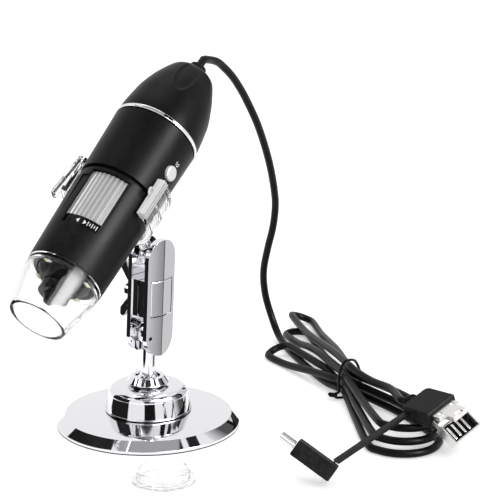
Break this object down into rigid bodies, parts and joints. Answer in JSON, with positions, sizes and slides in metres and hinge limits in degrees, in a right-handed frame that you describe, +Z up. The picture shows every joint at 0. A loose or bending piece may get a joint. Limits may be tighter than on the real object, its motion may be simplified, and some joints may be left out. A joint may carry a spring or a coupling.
{
  "type": "usb digital microscope",
  "caption": "Barrel-shaped digital microscope with a clear nose and a focus wheel, clipped to a chrome ball-joint table stand, with its hanked cord and plugs.",
  "frame": {"origin": "centre of the base's underside, on the surface the stand rests on", "axes": "+Z up; the barrel's nose points to -X and -Y and down; the cord and its plugs lie towards +X"},
  "size_m": [0.1671, 0.196, 0.1362],
  "materials": {
    "foot_pad": "matte black",
    "base_shell": "polished",
    "base_weight": "bare",
    "base_screw": "zinc",
    "ball_housing": "polished",
    "seat_plug": "zinc",
    "locking_collar": "polished",
    "lower_ball_seat": "white nylon",
    "stand_rod": "polished",
    "arm_shell_right": "polished",
    "arm_shell_left": "polished",
    "arm_cover_plate": "polished",
    "clamp_bolt": "zinc",
    "lock_washer": "zinc",
    "wing_nut": "polished",
    "barrel_clip": "clear",
    "nose_cover": "clear",
    "front_shell": "satin black",
    "rear_tube": "satin black",
    "rear_dome": "satin black",
    "trim_ring": "polished",
    "cord_gland": "matte black",
    "chassis_tube": "satin black",
    "lens_bezel": "satin black",
    "led_board": "white solder mask",
    "led_1": "phosphor",
    "led_2": "phosphor",
    "led_3": "phosphor",
    "led_4": "phosphor",
    "focus_wheel": "silver paint",
    "lens_tube": "satin black",
    "front_lens": "coated",
    "drive_pin": "ground",
    "sensor_board": "green solder mask",
    "image_sensor": "cover glass",
    "main_board": "green solder mask",
    "controller_chip": "satin black",
    "tact_switch": "tinned",
    "button_spring": "spring steel",
    "snap_button": "silver paint",
    "lead_wires": "insulated bundle",
    "free_cord": "black jacket",
    "cord_hank": "black jacket",
    "hank_tie": "black coated wire",
    "plug_overmold": "satin black",
    "tether_strap": "matte black",
    "adapter_body": "satin black",
    "plug_tongue": "nickel",
    "plug_shell": "nickel",
    "plug_contacts": "satin black",
    "adapter_plug": "nickel",
    "adapter_port": "nickel",
    "tip_cap": "clear"
  },
  "bodies": {
    "stand_base": {"foot_pad": "foot_pad", "base_shell": "base_shell", "base_weight": "base_weight", "base_screw": "base_screw", "ball_housing": "ball_housing", "seat_plug": "seat_plug", "tip_cap": "tip_cap", "free_cord": "free_cord", "cord_hank": "cord_hank", "hank_tie": "hank_tie", "plug_overmold": "plug_overmold", "plug_tongue": "plug_tongue", "tether_strap": "tether_strap", "adapter_body": "adapter_body", "adapter_plug": "adapter_plug", "adapter_port": "adapter_port"},
    "collar": {"locking_collar": "locking_collar"},
    "ball_seat": {"lower_ball_seat": "lower_ball_seat"},
    "rod": {"stand_rod": "stand_rod"},
    "arm": {"arm_shell_right": "arm_shell_right", "arm_shell_left": "arm_shell_left", "arm_cover_plate": "arm_cover_plate", "clamp_bolt": "clamp_bolt", "lock_washer": "lock_washer"},
    "wing_nut": {"wing_nut": "wing_nut"},
    "clip": {"barrel_clip": "barrel_clip"},
    "barrel": {"nose_cover": "nose_cover", "front_shell": "front_shell", "rear_tube": "rear_tube", "rear_dome": "rear_dome", "trim_ring": "trim_ring", "cord_gland": "cord_gland", "chassis_tube": "chassis_tube", "lens_bezel": "lens_bezel", "led_board": "led_board", "led_1": "led_1", "led_2": "led_2", "led_3": "led_3", "led_4": "led_4", "sensor_board": "sensor_board", "image_sensor": "image_sensor", "main_board": "main_board", "controller_chip": "controller_chip", "tact_switch": "tact_switch", "button_spring": "button_spring", "lead_wires": "lead_wires"},
    "focus_wheel": {"focus_wheel": "focus_wheel"},
    "lens": {"lens_tube": "lens_tube", "front_lens": "front_lens", "drive_pin": "drive_pin"},
    "button": {"snap_button": "snap_button"},
    "plug_shell": {"plug_shell": "plug_shell", "plug_contacts": "plug_contacts"}
  },
  "joints": [
    {"name": "collar_turn", "type": "hinge", "parent": "stand_base", "child": "collar", "pos_m": [0, 0, 0.018], "axis": [0, 0, 1], "range_deg": [-180, 180]},
    {"name": "stand_pan", "type": "hinge", "parent": "stand_base", "child": "ball_seat", "pos_m": [0, 0, 0.0157], "axis": [0, 0, 1], "range_deg": [-170, 170], "deforming": ["free_cord"]},
    {"name": "rod_tilt", "type": "hinge", "parent": "ball_seat", "child": "rod", "pos_m": [0, 0, 0.0157], "axis": [0, 1, 0], "range_deg": [-23, 14], "deforming": ["free_cord"]},
    {"name": "arm_fold", "type": "hinge", "parent": "rod", "child": "arm", "pos_m": [0.00087, 0, 0.03588], "axis": [0.7764, -0.6293, -0.0336], "range_deg": [-75, 35], "deforming": ["free_cord"]},
    {"name": "wing_nut_turn", "type": "hinge", "parent": "arm", "child": "wing_nut", "pos_m": [0.00152, 0, 0.05087], "axis": [0.7764, -0.6293, -0.0336], "range_deg": [-180, 180]},
    {"name": "clip_tilt", "type": "hinge", "parent": "arm", "child": "clip", "pos_m": [0.00217, 0, 0.06585], "axis": [0.7764, -0.6293, -0.0336], "range_deg": [-60, 24], "deforming": ["free_cord"]},
    {"name": "barrel_turn", "type": "hinge", "parent": "clip", "child": "barrel", "pos_m": [-0.00951, -0.01746, 0.09322], "axis": [0.4496, 0.6537, 0.6088], "range_deg": [-170, 170], "deforming": ["free_cord"]},
    {"name": "focus_turn", "type": "hinge", "parent": "barrel", "child": "focus_wheel", "pos_m": [-0.00951, -0.01746, 0.09322], "axis": [0.4496, 0.6537, 0.6088], "range_deg": [-120, 120]},
    {"name": "lens_slide", "type": "slide", "parent": "barrel", "child": "lens", "axis": [0.4496, 0.6537, 0.6088], "range_m": [-0.00401, 0.00401]},
    {"name": "button_press", "type": "slide", "parent": "barrel", "child": "button", "axis": [-0.8266, 0.5627, 0.0062], "range_m": [0, 0.0006], "stiffness_N_per_m": 800, "springref_m": -0.0005},
    {"name": "plug_flip", "type": "hinge", "parent": "stand_base", "child": "plug_shell", "pos_m": [0.10968, -0.03165, 0.01498], "axis": [0.6961, 0.6517, 0.3013], "range_deg": [-42.5, 20]}
  ],
  "couplings": [
    {"joint": "lens_slide", "follows": "focus_turn", "m_per_rad": 0.0019099}
  ]
}
